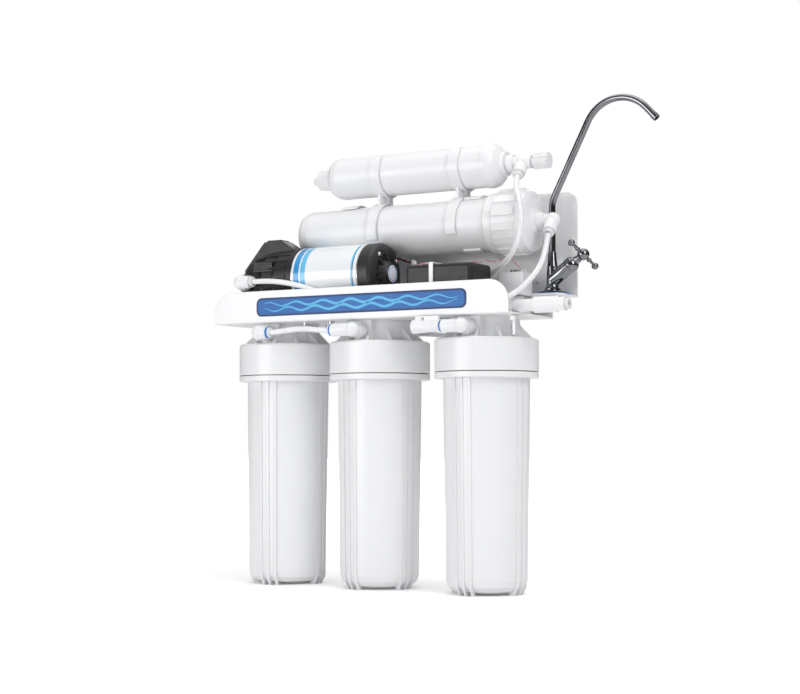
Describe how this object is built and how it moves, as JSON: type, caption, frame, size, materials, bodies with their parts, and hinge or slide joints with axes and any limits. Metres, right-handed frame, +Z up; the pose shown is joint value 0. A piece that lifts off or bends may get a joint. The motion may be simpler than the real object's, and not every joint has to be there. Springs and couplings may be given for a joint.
{
  "type": "reverse osmosis unit",
  "caption": "Wall-hung water purifier: filter housings under a folded bracket that carries a booster pump, membrane, inline filter and swan-neck tap.",
  "frame": {"origin": "centre of the middle housing's foot, on the surface the housings stand on", "axes": "+X along the bracket towards the tap, +Y back to the wall, +Z up"},
  "size_m": [0.531, 0.1425, 0.5589],
  "materials": {
    "white_steel": "gloss powder coat",
    "white_plastic": "moulded gloss",
    "blue_plastic": "moulded gloss",
    "white_tube": "extruded satin",
    "bright_steel": "zinc plated",
    "black_plastic": "fine moulded texture",
    "black_gloss": "satin moulded",
    "pump_steel": "plated",
    "label_film": "printed film",
    "dark_rubber": "satin",
    "motor_iron": "machined",
    "lead_red": "insulated wire",
    "lead_white": "insulated wire",
    "chrome": "polished",
    "filter_felt": "melt-blown felt"
  },
  "bodies": {
    "root": {"back_plate": "white_steel", "bracket": "white_steel", "collets": "white_plastic", "crossover_tubes": "white_tube", "double_clips": "white_plastic", "faucet_body": "chrome", "faucet_nut": "bright_steel", "faucet_plate": "chrome", "feed_hose": "white_tube", "filter_media": "filter_felt", "filter_tee": "white_plastic", "flow_restrictor": "white_plastic", "head_1": "white_plastic", "head_2": "white_plastic", "head_3": "white_plastic", "head_elbows": "white_plastic", "head_screws": "bright_steel", "locking_clips": "blue_plastic", "membrane_cap": "white_plastic", "membrane_element": "filter_felt", "membrane_fittings": "white_plastic", "membrane_housing": "white_plastic", "permeate_hose": "white_tube", "plate_clips": "white_plastic", "plate_screws": "bright_steel", "post_filter": "white_plastic", "post_filter_cap": "white_plastic", "pressure_switch": "white_plastic", "pump_can": "pump_steel", "pump_elbows": "white_plastic", "pump_end_cap": "black_plastic", "pump_feet": "dark_rubber", "pump_head": "black_plastic", "pump_label": "label_film", "pump_lead": "lead_red", "pump_magnets": "motor_iron", "restrictor_tie": "white_tube", "seals": "dark_rubber", "shelf_bolts": "bright_steel", "supply_case": "black_gloss", "supply_core": "motor_iron", "supply_tie": "white_tube", "valve_body": "white_plastic", "valve_coil": "white_plastic", "valve_elbow": "white_plastic", "valve_lead": "lead_white", "valve_spring": "bright_steel"},
    "carrier_1": {"cartridge_1": "filter_felt"},
    "bowl_1": {"sump_1": "white_plastic"},
    "carrier_2": {"cartridge_2": "filter_felt"},
    "bowl_2": {"sump_2": "white_plastic"},
    "carrier_3": {"cartridge_3": "filter_felt"},
    "bowl_3": {"sump_3": "white_plastic"},
    "spout": {"faucet_spout": "chrome"},
    "handle": {"faucet_handle": "chrome"},
    "rotor": {"pump_rotor": "motor_iron"},
    "plunger": {"valve_plunger": "bright_steel"},
    "feed_ring": {"feed_collet": "white_plastic"},
    "drain_ring": {"drain_collet": "white_plastic"}
  },
  "joints": [
    {"name": "bowl_1_lower", "type": "slide", "parent": "root", "child": "carrier_1", "axis": [0, 0, -1], "range_m": [0, 0.012]},
    {"name": "bowl_1_unscrew", "type": "hinge", "parent": "carrier_1", "child": "bowl_1", "pos_m": [-0.13, 0, 0.25], "axis": [0, 0, -1], "range_deg": [0, 1080]},
    {"name": "bowl_2_lower", "type": "slide", "parent": "root", "child": "carrier_2", "axis": [0, 0, -1], "range_m": [0, 0.012]},
    {"name": "bowl_2_unscrew", "type": "hinge", "parent": "carrier_2", "child": "bowl_2", "pos_m": [0, 0, 0.25], "axis": [0, 0, -1], "range_deg": [0, 1080]},
    {"name": "bowl_3_lower", "type": "slide", "parent": "root", "child": "carrier_3", "axis": [0, 0, -1], "range_m": [0, 0.012]},
    {"name": "bowl_3_unscrew", "type": "hinge", "parent": "carrier_3", "child": "bowl_3", "pos_m": [0.141, 0, 0.25], "axis": [0, 0, -1], "range_deg": [0, 1080]},
    {"name": "spout_swing", "type": "hinge", "parent": "root", "child": "spout", "pos_m": [0.202, 0.046, 0.386], "axis": [0, 0, 1], "range_deg": [-50, 175]},
    {"name": "tap_turn", "type": "hinge", "parent": "root", "child": "handle", "pos_m": [0.202, 0.046, 0.353], "axis": [0.809, 0, 0.5878], "range_deg": [0, 90]},
    {"name": "rotor_spin", "type": "hinge", "parent": "root", "child": "rotor", "pos_m": [-0.048, -0.013, 0.3647], "axis": [1, 0, 0], "continuous": true},
    {"name": "plunger_lift", "type": "slide", "parent": "root", "child": "plunger", "axis": [0, 0, 1], "range_m": [0, 0.0025], "stiffness_N_per_m": 150, "springref_m": -0.002, "deforming": ["valve_spring"]},
    {"name": "feed_release", "type": "slide", "parent": "root", "child": "feed_ring", "axis": [1, 0, 0], "range_m": [0, 0.0015]},
    {"name": "drain_release", "type": "slide", "parent": "root", "child": "drain_ring", "axis": [-1, 0, 0], "range_m": [0, 0.0015]}
  ],
  "couplings": [
    {"joint": "bowl_1_lower", "follows": "bowl_1_unscrew", "m_per_rad": 0.00063662},
    {"joint": "bowl_2_lower", "follows": "bowl_2_unscrew", "m_per_rad": 0.00063662},
    {"joint": "bowl_3_lower", "follows": "bowl_3_unscrew", "m_per_rad": 0.00063662}
  ]
}
